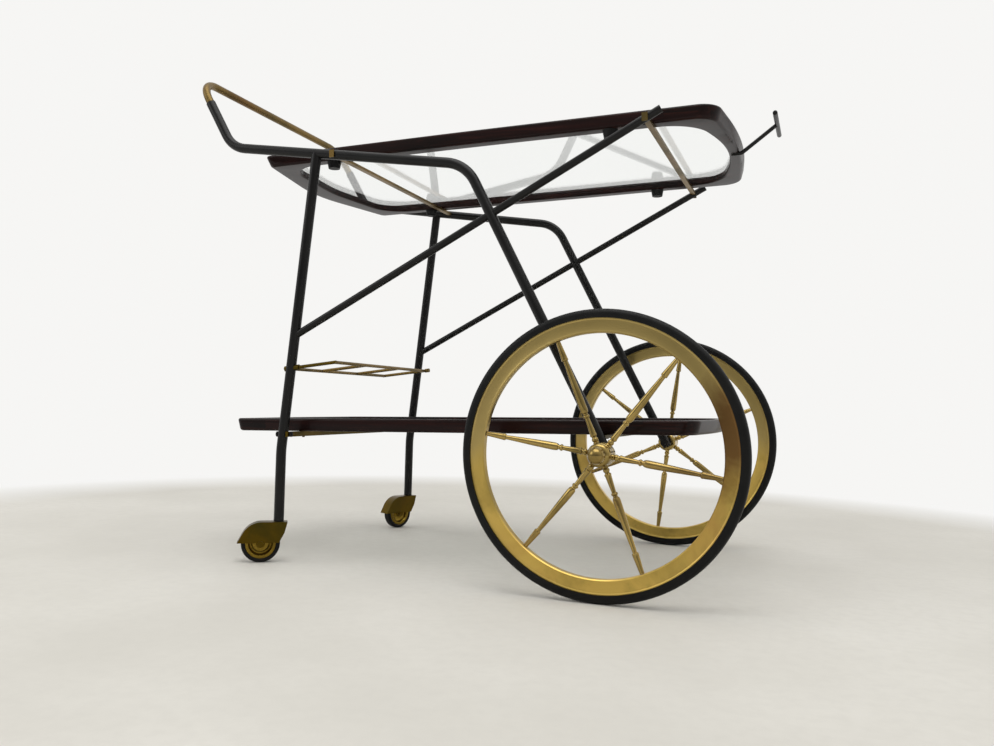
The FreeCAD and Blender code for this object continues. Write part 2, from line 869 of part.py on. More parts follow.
def tray_outline(length, prefix="tray_", inset=(0, 0, 0, 0, 0), gap=0):
    """The tray's outline, or one drawn in from it: a shallow point at each end and bowed sides."""
    handle, handle_corner, side, wheel_corner, wheel = inset
    handle_tip_round, handle_round, wheel_round, wheel_tip_round = [
        size(prefix + name) - gap for name in
        ("handle_tip_round", "handle_round", "wheel_round", "wheel_tip_round")]
    middle = length / 2
    handle_run = middle - size("tray_handle_point") - handle_corner
    wheel_run = middle - size("tray_wheel_point") - wheel_corner
    turn = slope_angle(size("tray_bow"), handle_run) + slope_angle(
        mid_half_width - wheel_half_width, wheel_run)
    room = smallest(handle_run - handle_round, wheel_run - wheel_round)
    bow_round = smallest(size("tray_bow_radius"), room / tangent(turn / 2))
    near_edge = (
        (middle - handle_run, size("tray_half_width") - side, handle_round),
        (middle, mid_half_width - side, bow_round),
        (middle + wheel_run, wheel_half_width - side, wheel_round),
    )
    corners = [(as_size(handle), 0, handle_tip_round)]
    corners += [(along, -across, radius) for along, across, radius in near_edge]
    corners += [(length - wheel, 0, wheel_tip_round)]
    corners += [(along, across, radius) for along, across, radius in reversed(near_edge)]
    return corners


def lip_outline(length, gap=0):
    """The step inside the tray's lip, or the glass that lies in it with a gap all round."""
    return tray_outline(length, "lip_", drawn_in("lip_", gap), gap)


def ledge_outline(length):
    return tray_outline(length, "ledge_", drawn_in("ledge_"))


def build_tray_blank(name, length):
    """The whole wooden frame of a tray, lying with its underside on its own ground plane."""
    body = new_body(name + "_blank")
    outline = new_sketch(body, "XY_Plane")
    draw_line_through(outline, tray_outline(length))
    draw_line_through(outline, ledge_outline(length))
    pad(body, outline, size("tray_thick"))
    step = new_sketch(body, "XY_Plane", lift=size("tray_thick"))
    draw_line_through(step, lip_outline(length))
    pocket(body, step, size("tray_thick") - size("ledge_thick"))
    levels = (0, size("tray_thick").number)
    edges = []
    for index, edge in enumerate(body.Shape.Edges, start=1):
        heights = [vertex.Z for vertex in edge.Vertexes]
        if any(all(abs(z - level) < TOLERANCE for z in heights) for level in levels):
            edges.append("Edge%d" % index)
    stepped = body.Tip
    rounding = body.newObject("PartDesign::Fillet", name + "_rounding")
    rounding.Base = (stepped, edges)
    bind(rounding, "Radius", size("tray_edge_round"))
    return body


def build_tray(name, length, tools, *frames):
    """Cut a tray's frame into its two side rails and four end halves, and add its glass."""
    blank = build_tray_blank(name, length)
    if tools:
        blank = cut_by(blank, *tools)
    width = 2 * mid_half_width
    height = size("tray_thick") * 2
    ends = (
        ("handle_end", as_size(0), size("handle_end_length")),
        ("rail", size("handle_end_length"), length - size("wheel_end_length")),
        ("wheel_end", length - size("wheel_end_length"), length),
    )
    for end, start, stop in ends:
        for side, sign in NEAR_AND_FAR:
            corner = frame(start, -width if sign < 0 else 0, -size("tray_thick") / 2)
            piece = common(blank, block(stop - start, width, height, corner))
            place(finish(piece, "%s_%s_%s" % (name, side, end)), GROUND, *frames)
    glass = new_body(name + "_glass_pane")
    sketch = new_sketch(glass, "XY_Plane", lift=size("ledge_thick"))
    draw_line_through(sketch, lip_outline(length, size("glass_gap")))
    pad(glass, sketch, size("glass_thick"))
    place(finish(glass, name + "_glass"), GROUND, *frames)


def pull_rod_path(length):
    bend = length - size("pull_bend_inset")
    angle = size("pull_rise_angle")
    height = size("pull_rod_sink")
    return (
        (bend - size("pull_rod_run"), height),
        (bend, height, size("pull_bend_radius")),
        (bend + size("pull_rise_length") * cosine(angle),
         height + size("pull_rise_length") * sine(angle)),
    )


def build_trays():
    length = size("lower_tray_length")
    build_tray("lower_tray", length, screw_holes(size("screw_depth") + fit_gap), LOWER_TRAY)

    length = size("top_tray_length")
    path = pull_rod_path(length)
    rod_radius = size("pull_rod_dia") / 2
    groove = bent_tube("pull_groove", "XZ_Plane", path, rod_radius + fit_gap)
    build_tray("top_tray", length, [groove], TOP_BARS, TOP_TRAY)

    feet = []
    for along in (size("foot_front"), size("foot_rear")):
        across = tray_edge_at(length, along) - size("ledge_side") / 2
        for side in (-1, 1):
            foot = doc.addObject("Part::Cone", "Foot")
            bind(foot, "Radius1", size("foot_tip_dia") / 2)
            bind(foot, "Radius2", size("foot_dia") / 2)
            bind(foot, "Height", size("foot_height"))
            feet.append(place(foot, frame(along, side * across, -size("foot_height"))))
    place(finish(grouped(*feet), "top_tray_feet"), GROUND, TOP_BARS, TOP_TRAY)

    grip_radius = size("pull_grip_dia") / 2
    grip_end = size("pull_grip_length") / 2
    grip_x, grip_z = path[-1]
    round_end = size("pull_grip_round")
    grip = revolved("pull_grip_bar", (
        (0, -grip_end),
        (grip_radius, -grip_end, round_end),
        (grip_radius, grip_end, round_end),
        (0, grip_end),
    ))
    place(finish(grip, "pull_grip"), GROUND, TOP_BARS, TOP_TRAY, frame(grip_x, 0, grip_z))
    pull_rod = bent_tube("pull_rod_bar", "XZ_Plane", path, rod_radius)
    cope = rod(grip_radius + fit_gap, size("pull_grip_length"),
               frame(grip_x, -grip_end, grip_z), ALONG_Y)
    place(finish(cut_by(pull_rod, cope), "pull_rod"), GROUND, TOP_BARS, TOP_TRAY)


# ---- bottle rack -------------------------------------------------------------------------

rack_radius = size("rack_rod_dia") / 2
RACK_MOUNT = leaning(front_leg_at(size("rack_z")), 0, size("rack_z"), -size("rack_tilt"))


def build_rack():
    """Two long rods and their rungs; the first rung runs through the near front leg."""
    here = (GROUND, frame(y=-half_width), RACK_MOUNT)
    inner = -size("rack_offset")
    outer = inner + size("rack_width")
    rung_1 = size("rack_pocket_1")
    rung_2 = rung_1 + size("rack_pocket_2")
    rung_3 = rung_2 + size("rack_pocket_3")

    leg_lean = rake + size("rack_tilt")
    leg_face = leg_radius / cosine(leg_lean)
    leg_cut = rod(leg_radius + fit_gap, 2 * frame_depth,
                  leaning(0, 0, 0, leg_lean), frame(z=-frame_depth))
    head_length = leg_face + size("rack_pin_head_thick")
    collar_length = leg_face + size("rack_collar_length")
    mount = rod(rack_radius, head_length + outer + rack_radius, frame(-head_length), ALONG_X)
    head = rod(size("rack_pin_head_dia") / 2, head_length, frame(-head_length), ALONG_X)
    collar = rod(size("rack_collar_dia") / 2, collar_length, ALONG_X)
    seats = [cut_by(head, leg_cut), cut_by(collar, leg_cut)]
    place(finish(joined(mount, *seats), "rack_mounting_rod"), *here)

    def long_rod(along):
        return rod(rack_radius, rung_3, frame(along), ALONG_Y)

    def rung(across, start_x, length, radius=rack_radius):
        return rod(radius, length, frame(start_x, across), ALONG_X)

    wide = rack_radius + fit_gap
    reach = outer - inner + 2 * wide
    ends = [rung(across, inner - wide, reach, wide) for across in (0, rung_3)]
    long_rods = [cut_by(long_rod(inner), leg_cut, *ends), cut_by(long_rod(outer), *ends)]
    place(finish(grouped(*long_rods), "rack_long_rods"), *here)

    rungs = []
    for across in (rung_1, rung_2):
        sides = [rod(wide, rung_3, frame(along), ALONG_Y) for along in (inner, outer)]
        rungs.append(cut_by(rung(across, inner, outer - inner), *sides))
    tail = outer - inner + 2 * rack_radius + size("rack_overhang")
    rungs.append(rung(rung_3, inner - rack_radius, tail))
    place(finish(grouped(*rungs), "rack_rungs"), *here)

    cap_x = outer + rack_radius + fit_gap
    cap = rod(size("rack_cap_dia") / 2, size("rack_cap_length"), frame(cap_x, rung_3), ALONG_X)
    bore = rod(wide, size("rack_overhang") + fit_gap, frame(cap_x, rung_3), ALONG_X)
    place(finish(cut_by(cap, bore), "rack_end_cap"), *here)


# ---- big wheels --------------------------------------------------------------------------
# Each wheel is laid out as the near one, with its outer side towards -Y.

hub_radius = size("hub_dia") / 2
hub_middle = size("wheel_plane") - size("wheel_dish")
hub_inner = hub_middle - size("hub_length") / 2
hub_outer = hub_middle + size("hub_length") / 2
rim_outer = wheel_radius - size("tyre_depth")
rim_inner = rim_outer - size("rim_depth")
ball_radius = size("ball_dia") / 2
ball_cut = slope_angle(size("ball_flat") / 2, ball_radius)


def ring(name, inner, outer, middle, width, inner_round, outer_round):
    """A ring about the Y axis with rounded edges, its middle plane at a y on the near side."""
    return revolved(name, (
        (inner, -middle - width / 2, inner_round),
        (outer, -middle - width / 2, outer_round),
        (outer, -middle + width / 2, outer_round),
        (inner, -middle + width / 2, inner_round),
    ))


def build_spokes(name):
    """Turned spokes that run from the hub out to the rim, which lies further out."""
    start = hub_radius + seat_gap
    dish = slope_angle(size("wheel_dish"), rim_inner)
    length = rim_inner / cosine(dish) - seat_gap - start
    radius = size("spoke_dia") / 2
    corners = [(start, 0)]
    corners += [(start + length * along, radius * share) for along, share in SPOKE_TURNING]
    corners += [(start + length, 0)]
    body = revolved(name, corners, axis="H_Axis", turn=-dish)
    pattern = body.newObject("PartDesign::PolarPattern", name + "_pattern")
    pattern.Originals = [body.Tip]
    pattern.Axis = (origin_feature(body, "Y_Axis"), [""])
    pattern.Angle = 2 * HALF_TURN
    bind(pattern, "Occurrences", size("spoke_count"))
    body.Tip = pattern
    return body


def build_wheel(side):
    far = side == "far"
    here = (GROUND, frame(0, 0, wheel_radius, rotation(Z_AXIS, HALF_TURN if far else 0)))
    tyre = ring(side + "_tyre_ring", rim_outer + fit_gap, wheel_radius, size("wheel_plane"),
                size("tyre_width"), size("rim_round"), size("tyre_round"))
    place(finish(tyre, side + "_wheel_tyre"), *here)
    rim = ring(side + "_rim_ring", rim_inner, rim_outer, size("wheel_plane"),
               size("rim_width"), size("rim_round"), size("rim_round"))
    place(finish(rim, side + "_wheel_rim"), *here)

    turn = size("far_wheel_turn") - HALF_TURN if far else -size("near_wheel_turn")
    spokes = build_spokes(side + "_spoke_set")
    place(finish(spokes, side + "_wheel_spokes"), *here,
          frame(0, -hub_middle, 0, rotation(Y_AXIS, turn)))

    bore = size("axle_dia") / 2 + running_gap
    flange_radius = size("hub_flange_dia") / 2
    flange_y = hub_outer - size("hub_flange_thick")
    rounding = size("hub_round")
    hub = revolved(side + "_hub_turning", (
        (bore, -hub_inner),
        (hub_radius, -hub_inner, rounding),
        (hub_radius, -flange_y),
        (flange_radius, -flange_y, rounding),
        (flange_radius, -hub_outer, rounding),
        (bore, -hub_outer),
    ))
    place(finish(hub, side + "_wheel_hub"), *here)
    return here


def build_axle(side, *here):
    """A stub axle held in the rear leg, with a ball nut that keeps the hub on."""
    radius = size("axle_dia") / 2
    head_radius = size("axle_head_dia") / 2
    collar_radius = size("axle_collar_dia") / 2
    head_y = half_width - tube_radius - fit_gap
    collar_y = half_width + tube_radius + fit_gap
    collar_end = hub_inner - side_gap
    nut_y = hub_outer + side_gap
    axle_end = nut_y + ball_radius
    axle = revolved(side + "_axle_turning", (
        (0, -head_y + size("axle_head_thick")),
        (head_radius, -head_y + size("axle_head_thick")),
        (head_radius, -head_y),
        (radius, -head_y),
        (radius, -collar_y),
        (collar_radius, -collar_y),
        (collar_radius, -collar_end),
        (radius, -collar_end),
        (radius, -axle_end),
        (0, -axle_end),
    ))
    place(finish(axle, side + "_axle"), *here)

    seat = ball_radius * cosine(ball_cut)
    ball = doc.addObject("Part::Sphere", "Ball")
    bind(ball, "Radius", ball_radius)
    bind(ball, "Angle1", ball_cut - QUARTER_TURN)
    place(ball, frame(z=ball_radius * sine(QUARTER_TURN - ball_cut)))
    bore = rod(radius + fit_gap, ball_radius + fit_gap)
    nut = cut_by(ball, bore)
    place(finish(nut, side + "_ball_nut"), *here, frame(0, -nut_y, 0,
                                                        rotation(X_AXIS, QUARTER_TURN)))


# ---- castors -----------------------------------------------------------------------------
# Each castor is laid out round its swivel axis, with its wheel trailing towards -X.

hood_top = size("hood_top_z")
hood_wall = size("hood_wall")
castor_radius = size("castor_wheel_dia") / 2
castor_bore = size("castor_axle_dia") / 2 + running_gap
inner_width = size("hood_inner_width")


def build_stem(side, *here):
    """The swivel pin: its shank is held in the leg and its headed pin carries the hood."""
    shank = leg_radius - size("front_leg_wall") - fit_gap
    flange_z = hood_top + side_gap
    head_z = hood_top - hood_wall - size("hood_boss_depth") - side_gap
    pin = size("stem_pin_dia") / 2
    shank_end = front_leg_foot_z + size("stem_shank_length")
    stem = revolved(side + "_stem_turning", (
        (0, head_z - size("stem_head_thick")),
        (size("stem_head_dia") / 2, head_z - size("stem_head_thick")),
        (size("stem_head_dia") / 2, head_z),
        (pin, head_z),
        (pin, flange_z),
        (leg_radius, flange_z),
        (leg_radius, front_leg_foot_z),
        (shank, front_leg_foot_z),
        (shank, shank_end),
        (0, shank_end),
    ), role="XZ_Plane")
    place(finish(stem, side + "_castor_stem"), *here)


def build_hood(side, *here):
    """A leaf-shaped hood with two cheeks, ears for the axle and a boss for the swivel pin."""
    body = new_body(side + "_hood_shell")
    low = size("hood_low_z")
    back_run = (size("hood_tail") - size("hood_flat")) / (hood_top - low)
    outline = new_sketch(body, "XZ_Plane")
    draw_line_through(outline, (
        (size("hood_front"), hood_top),
        (-size("hood_flat"), hood_top, size("hood_back_round")),
        (-size("hood_tail"), low),
        (size("hood_low_front"), low),
        (size("hood_cheek_x"), size("hood_cheek_z"), size("hood_cheek_round")),
    ))
    pad(body, outline, inner_width + 2 * hood_wall, both_ways=True)
    ears = new_sketch(body, "XZ_Plane")
    draw_circle(ears, size("hood_ear_dia") / 2, -size("castor_trail"), castor_radius)
    pad(body, ears, inner_width + 2 * hood_wall, both_ways=True)

    inside = new_sketch(body, "XZ_Plane")
    back_inset = hypotenuse(back_run, as_size(1)) * hood_wall
    below = castor_radius - size("hood_ear_dia")
    past_front = size("hood_front") * 2
    draw_line_through(inside, (
        (past_front, hood_top - hood_wall),
        (-size("hood_flat") + back_inset - back_run * hood_wall, hood_top - hood_wall,
         size("hood_back_round") - hood_wall),
        (-size("hood_tail") + back_inset, low),
        (-size("hood_tail") + back_inset, below),
        (past_front, below),
    ))
    pocket(body, inside, inner_width, both_ways=True)

    boss = new_sketch(body, "XY_Plane", lift=hood_top - hood_wall / 2)
    draw_circle(boss, size("hood_boss_dia") / 2)
    pad(body, boss, size("hood_boss_depth") + hood_wall / 2, downward=True)
    swivel_bore = rod(size("stem_pin_dia") / 2 + running_gap, hood_top)
    axle_bore = rod(size("castor_axle_dia") / 2 + fit_gap, 2 * inner_width,
                    frame(-size("castor_trail"), -inner_width, castor_radius), ALONG_Y)
    place(finish(cut_by(body, swivel_bore, axle_bore), side + "_castor_hood"), *here)


def build_castor_wheel(side, *here):
    radius = size("castor_axle_dia") / 2
    head = size("castor_axle_head_dia") / 2
    cheek = inner_width / 2 + hood_wall + fit_gap
    end = cheek + size("castor_axle_head_thick")
    axle = revolved(side + "_castor_axle_turning", (
        (0, -end), (head, -end), (head, -cheek), (radius, -cheek),
        (radius, cheek), (head, cheek), (head, end), (0, end),
    ))
    place(finish(axle, side + "_castor_axle"), *here)

    boss = size("castor_boss_dia") / 2
    boss_end = inner_width / 2 - side_gap
    web = size("castor_web_thick") / 2
    ring_radius = size("castor_ring_dia") / 2
    edge = castor_radius - size("castor_tyre_depth")
    half = size("castor_wheel_width") / 2
    disc = revolved(side + "_castor_disc_turning", (
        (castor_bore, -boss_end), (boss, -boss_end), (boss, -web), (ring_radius, -web),
        (ring_radius, -half), (edge, -half), (edge, half), (ring_radius, half),
        (ring_radius, web), (boss, web), (boss, boss_end), (castor_bore, boss_end),
    ))
    place(finish(disc, side + "_castor_disc"), *here)
    tyre = ring(side + "_castor_tyre_ring", edge + fit_gap, castor_radius, as_size(0),
                size("castor_wheel_width"), size("rim_round"), size("castor_tyre_round"))
    place(finish(tyre, side + "_castor_tyre"), *here)


def build_castor(side, sign):
    turn = rotation(Z_AXIS, size(side + "_castor_turn"))
    here = (GROUND, frame(front_leg_x, sign * half_width, 0, turn))
    build_stem(side, *here)
    build_hood(side, *here)
    build_castor_wheel(side, *here, frame(-size("castor_trail"), 0, castor_radius))


# ---- the whole trolley -------------------------------------------------------------------

for side, sign in NEAR_AND_FAR:
    plane = (GROUND, frame(y=sign * half_width))
    place(finish(build_side_frame(side), side + "_side_frame"), *plane)
    place(finish(build_front_leg(side), side + "_front_leg"), *plane)
    place(finish(build_lower_strut(), side + "_lower_strut"), *plane)
    place(finish(build_upper_strut(), side + "_upper_strut"), *plane)
    build_axle(side, *build_wheel(side))
    build_castor(side, sign)
build_handle()
build_top_bar("top_front_bar", as_size(0), tube_radius)
build_top_bar("top_rear_bar", rear_bar_along, strut_radius)
build_lower_bars()
build_bolts()
build_screws()
build_trays()
build_rack()

doc.recompute()
failed = [item.Label for item in doc.Objects
          if "Invalid" in item.State or "Error" in item.State]
failed += [item.Label for item in sub_parts if item.Shape.isNull() or not item.Shape.isValid()]
if failed:
    raise RuntimeError("these objects failed: " + ", ".join(failed))

os.makedirs("parts", exist_ok=True)
for item in sub_parts:
    item.Shape.exportStep("parts/%s.step" % item.Label)
    print(item.Label, len(item.Shape.Solids), "solids", round(item.Shape.Volume), "mm3")
print(len(sub_parts), "pieces")
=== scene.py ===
# %% [markdown]
# # A serving trolley, dressed step by step
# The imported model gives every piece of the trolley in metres, standing on the floor around the
# origin. This script loads it, sets up a camera and a plain studio, and then gives each piece its
# finish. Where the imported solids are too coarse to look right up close, a finer piece is modelled
# in the same place and stands for the solid.

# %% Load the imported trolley
import bmesh
import bpy
import json
import math
from mathutils import Matrix, Vector

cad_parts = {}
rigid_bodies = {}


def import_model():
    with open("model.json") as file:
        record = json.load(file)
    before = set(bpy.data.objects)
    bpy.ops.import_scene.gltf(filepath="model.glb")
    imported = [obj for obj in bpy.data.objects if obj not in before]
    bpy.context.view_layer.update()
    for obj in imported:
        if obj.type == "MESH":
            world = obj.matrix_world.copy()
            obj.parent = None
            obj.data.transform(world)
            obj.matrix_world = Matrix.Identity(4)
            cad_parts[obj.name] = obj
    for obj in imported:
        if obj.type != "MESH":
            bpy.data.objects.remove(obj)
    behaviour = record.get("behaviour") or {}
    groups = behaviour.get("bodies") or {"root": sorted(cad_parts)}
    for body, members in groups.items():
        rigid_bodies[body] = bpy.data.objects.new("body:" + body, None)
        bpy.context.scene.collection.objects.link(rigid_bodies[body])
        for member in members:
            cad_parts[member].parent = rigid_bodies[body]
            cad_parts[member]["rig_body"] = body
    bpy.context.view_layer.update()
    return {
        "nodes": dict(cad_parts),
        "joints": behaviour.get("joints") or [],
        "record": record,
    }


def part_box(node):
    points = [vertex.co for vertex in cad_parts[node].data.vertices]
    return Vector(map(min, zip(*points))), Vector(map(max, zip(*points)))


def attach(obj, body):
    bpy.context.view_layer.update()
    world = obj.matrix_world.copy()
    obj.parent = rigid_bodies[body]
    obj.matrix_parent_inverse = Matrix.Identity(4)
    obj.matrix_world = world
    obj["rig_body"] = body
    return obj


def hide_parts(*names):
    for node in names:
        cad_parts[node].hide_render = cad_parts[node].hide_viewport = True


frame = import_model()

# %% [markdown]
# ## The camera
# The photograph was taken from low down, a little to the right of the middle. A camera is
# described by where it stands, which way it looks and its focal length, and these were worked out
# from the round wheels and the parallel tubes. The look direction is turned into a rotation
# matrix: its columns are the camera's own right, up and backward directions.

# %% Camera
CAMERA_PLACE = (0.5300, -1.3602, 0.2563)
CAMERA_TURN = math.radians(21.0)
CAMERA_PITCH = math.radians(1.852)
CAMERA_ROLL = math.radians(1.5615)
CAMERA_LENS = 31.45
SENSOR_WIDTH = 36.0


def camera_rotation(turn, pitch, roll):
    forward = Vector((-math.sin(turn) * math.cos(pitch), math.cos(turn) * math.cos(pitch),
                      math.sin(pitch)))
    level = Vector((math.cos(turn), math.sin(turn), 0))
    upright = level.cross(forward)
    right = level * math.cos(roll) + upright * math.sin(roll)
    up = upright * math.cos(roll) - level * math.sin(roll)
    return Matrix((right, up, -forward)).transposed()


camera_data = bpy.data.cameras.new("photo_camera")
camera_data.lens = CAMERA_LENS
camera_data.sensor_width = SENSOR_WIDTH
camera = bpy.data.objects.new("photo_camera", camera_data)
bpy.context.scene.collection.objects.link(camera)
camera.matrix_world = Matrix.Translation(CAMERA_PLACE) @ camera_rotation(
    CAMERA_TURN, CAMERA_PITCH, CAMERA_ROLL).to_4x4()
bpy.context.scene.camera = camera
print("camera at", CAMERA_PLACE)

# %% [markdown]
# ## Small helpers
# Every material is a short chain of nodes, so two helpers keep the cells readable: one starts a
# material and returns its shader, the other adds a node with its settings and links.

# %% Helpers for node materials


class Paint:
    """A node material that is built up one node at a time."""

    def __init__(self, name):
        print("material", name)
        self.material = bpy.data.materials.new(name)
        self.material.use_nodes = True
        self.nodes = self.material.node_tree.nodes
        self.links = self.material.node_tree.links
        self.shader = self.nodes["Principled BSDF"]
        self.output = self.nodes["Material Output"]

    def add(self, kind, **settings):
        node = self.nodes.new(kind)
        for name, value in settings.items():
            setattr(node, name, value)
        return node

    def join(self, source, target):
        self.links.new(source, target)

    def place(self, scale=(1, 1, 1), turn=(0, 0, 0)):
        """Object coordinates, stretched and turned for the pattern that reads them."""
        coordinates = self.add("ShaderNodeTexCoord")
        mapping = self.add("ShaderNodeMapping")
        mapping.inputs["Scale"].default_value = scale
        mapping.inputs["Rotation"].default_value = turn
        self.join(coordinates.outputs["Object"], mapping.inputs["Vector"])
        return mapping.outputs["Vector"]

    def noise(self, vector, scale, detail=4.0, roughness=0.55, distortion=0.0):
        node = self.add("ShaderNodeTexNoise")
        node.inputs["Scale"].default_value = scale
        node.inputs["Detail"].default_value = detail
        node.inputs["Roughness"].default_value = roughness
        node.inputs["Distortion"].default_value = distortion
        self.join(vector, node.inputs["Vector"])
        return node.outputs["Fac"]

    def ramp(self, value, *stops):
        """Colours along a value: each stop is (position, (red, green, blue))."""
        node = self.add("ShaderNodeValToRGB")
        elements = node.color_ramp.elements
        while len(elements) < len(stops):
            elements.new(0.5)
        for element, (position, colour) in zip(elements, stops):
            element.position = position
            element.color = (*colour, 1)
        self.join(value, node.inputs["Fac"])
        return node.outputs["Color"]

    def range(self, value, low, high, from_low=0.0, from_high=1.0):
        node = self.add("ShaderNodeMapRange")
        node.inputs["From Min"].default_value = from_low
        node.inputs["From Max"].default_value = from_high
        node.inputs["To Min"].default_value = low
        node.inputs["To Max"].default_value = high
        self.join(value, node.inputs["Value"])
        return node.outputs["Result"]

    def mix(self, factor, first, second, blend="MIX"):
        node = self.add("ShaderNodeMix", data_type="RGBA", blend_type=blend)
        for source, name in ((factor, 0), (first, 6), (second, 7)):
            if isinstance(source, (tuple, float, int)):
                node.inputs[name].default_value = source if name == 0 else (*source, 1)
            else:
                self.join(source, node.inputs[name])
        return node.outputs[2]

    def bump(self, height, distance, strength=1.0):
        node = self.add("ShaderNodeBump")
        node.inputs["Distance"].default_value = distance
        node.inputs["Strength"].default_value = strength
        self.join(height, node.inputs["Height"])
        self.join(node.outputs["Normal"], self.shader.inputs["Normal"])

    def set(self, **sockets):
        for name, value in sockets.items():
            socket = self.shader.inputs[name.replace("_", " ")]
            if isinstance(value, bpy.types.NodeSocket):
                self.join(value, socket)
            elif isinstance(value, tuple):
                socket.default_value = (*value, 1)
            else:
                socket.default_value = value


# %% [markdown]
# ## The studio
# A pale floor carries the trolley's soft shadow. A little way off it melts into the colour of the
# wall, as the paper sweep of a photo studio does, so no hard horizon cuts through the picture. The
# blend follows the distance from the trolley, so it looks the same from every side.

# %% Floor
WALL_COLOUR = (0.925, 0.92, 0.905)
FLOOR_SIZE = 12.0
FLOOR_END = 1.15
WALL_START = 1.5

floor_mesh = bpy.data.meshes.new("floor")
shape = bmesh.new()
bmesh.ops.create_grid(shape, x_segments=1, y_segments=1, size=FLOOR_SIZE)
shape.to_mesh(floor_mesh)
shape.free()
floor = bpy.data.objects.new("floor", floor_mesh)
bpy.context.scene.collection.objects.link(floor)

concrete = Paint("pale_floor")
place = concrete.place()
clouds = concrete.noise(place, 2.2, detail=8.0)
specks = concrete.noise(place, 60.0, detail=3.0)
base = concrete.ramp(clouds, (0.35, (0.66, 0.64, 0.585)), (0.65, (0.74, 0.72, 0.665)))
concrete.set(Base_Color=concrete.mix(concrete.range(specks, 0.0, 0.25, 0.4, 0.7), base,
                                     (0.62, 0.6, 0.55)),
             Roughness=0.75)
concrete.bump(specks, 0.0006, 0.4)
reach = concrete.add("ShaderNodeVectorMath", operation="LENGTH")
concrete.join(place, reach.inputs[0])
wall_glow = concrete.add("ShaderNodeEmission")
wall_glow.inputs["Color"].default_value = (*WALL_COLOUR, 1)
sweep = concrete.add("ShaderNodeMixShader")
concrete.join(concrete.range(reach.outputs["Value"], 0.0, 1.0, FLOOR_END, WALL_START),
              sweep.inputs["Fac"])
concrete.join(concrete.shader.outputs["BSDF"], sweep.inputs[1])
concrete.join(wall_glow.outputs["Emission"], sweep.inputs[2])
concrete.join(sweep.outputs["Shader"], concrete.output.inputs["Surface"])
floor.data.materials.append(concrete.material)
print("floor fades into the wall between", FLOOR_END, "and", WALL_START, "m")

# %% [markdown]
# The world has three faces. The camera, also through glass, sees the plain wall colour. Mirrors see
# a room that is bright overhead and towards the wall and darker in front, because polished brass
# and black paint only look like themselves when they have something dark to reflect. Everything
# else is lit by an even sky.

# %% World
SKY_COLOUR = (1.0, 0.99, 0.97)
SKY_LEVEL = 0.62
BRIGHT_SIDE = (0.0, 0.6, 0.8)
ROOM_BORDER = (-0.6, 0.5)
ROOM_LEVELS = (0.2, 1.0)

bpy.context.scene.view_settings.view_transform = "Standard"
world = bpy.data.worlds.new("studio")
bpy.context.scene.world = world
world.use_nodes = True
nodes = world.node_tree.nodes
links = world.node_tree.links
nodes.clear()
sky = nodes.new("ShaderNodeBackground")
sky.inputs["Color"].default_value = (*SKY_COLOUR, 1)
sky.inputs["Strength"].default_value = SKY_LEVEL
wall = nodes.new("ShaderNodeBackground")
wall.inputs["Color"].default_value = (*WALL_COLOUR, 1)
ray = nodes.new("ShaderNodeLightPath")
seen = nodes.new("ShaderNodeMath")
seen.operation = "MAXIMUM"
links.new(ray.outputs["Is Camera Ray"], seen.inputs[0])
links.new(ray.outputs["Is Transmission Ray"], seen.inputs[1])

heading = nodes.new("ShaderNodeTexCoord")
facing = nodes.new("ShaderNodeVectorMath")
facing.operation = "DOT_PRODUCT"
facing.inputs[1].default_value = BRIGHT_SIDE
links.new(heading.outputs["Generated"], facing.inputs[0])
level = nodes.new("ShaderNodeMapRange")
for socket, value in zip(("From Min", "From Max", "To Min", "To Max"), ROOM_BORDER + ROOM_LEVELS):
    level.inputs[socket].default_value = value
links.new(facing.outputs["Value"], level.inputs["Value"])
room = nodes.new("ShaderNodeBackground")
room.inputs["Color"].default_value = (*WALL_COLOUR, 1)
links.new(level.outputs["Result"], room.inputs["Strength"])

mirror_or_sky = nodes.new("ShaderNodeMixShader")
links.new(ray.outputs["Is Glossy Ray"], mirror_or_sky.inputs["Fac"])
links.new(sky.outputs[0], mirror_or_sky.inputs[1])
links.new(room.outputs[0], mirror_or_sky.inputs[2])
chooser = nodes.new("ShaderNodeMixShader")
links.new(seen.outputs[0], chooser.inputs["Fac"])
links.new(mirror_or_sky.outputs[0], chooser.inputs[1])
links.new(wall.outputs[0], chooser.inputs[2])
world_output = nodes.new("ShaderNodeOutputWorld")
links.new(chooser.outputs[0], world_output.inputs["Surface"])
print("sky level", SKY_LEVEL, "and mirrored room from", ROOM_LEVELS[0], "to", ROOM_LEVELS[1])

# %% [markdown]
# Two big soft lamps help the sky: one overhead for the shadow on the floor, and a weaker one from
# the side for the highlights along tubes and spokes. The bigger a lamp, the softer its shadow.

# %% Lamps
LAMP_TARGET = Vector((0, 0, 0.4))


def soft_lamp(name, spot, size, power):
    """A big square lamp that looks at the middle of the trolley."""
    data = bpy.data.lights.new(name, "AREA")
    data.shape = "SQUARE"
    data.size = size
    data.energy = power
    lamp = bpy.data.objects.new(name, data)
    lamp.location = spot
    lamp.rotation_euler = (LAMP_TARGET - Vector(spot)).to_track_quat("-Z", "Y").to_euler()
    bpy.context.scene.collection.objects.link(lamp)
    print(name, "lamp,", power, "W")


soft_lamp("overhead", (0.3, -0.6, 3.0), 2.4, 42.0)
soft_lamp("window_side", (-2.4, -1.8, 1.8), 1.6, 14.0)

# %% [markdown]
# ## Black paint
# The frame is steel tube with a satin black paint that has gone slightly uneven with age. The
# colour hardly changes; what makes paint look like paint is its gloss, so a slow noise makes some
# stretches a little duller, and a faint waviness breaks up the reflections.

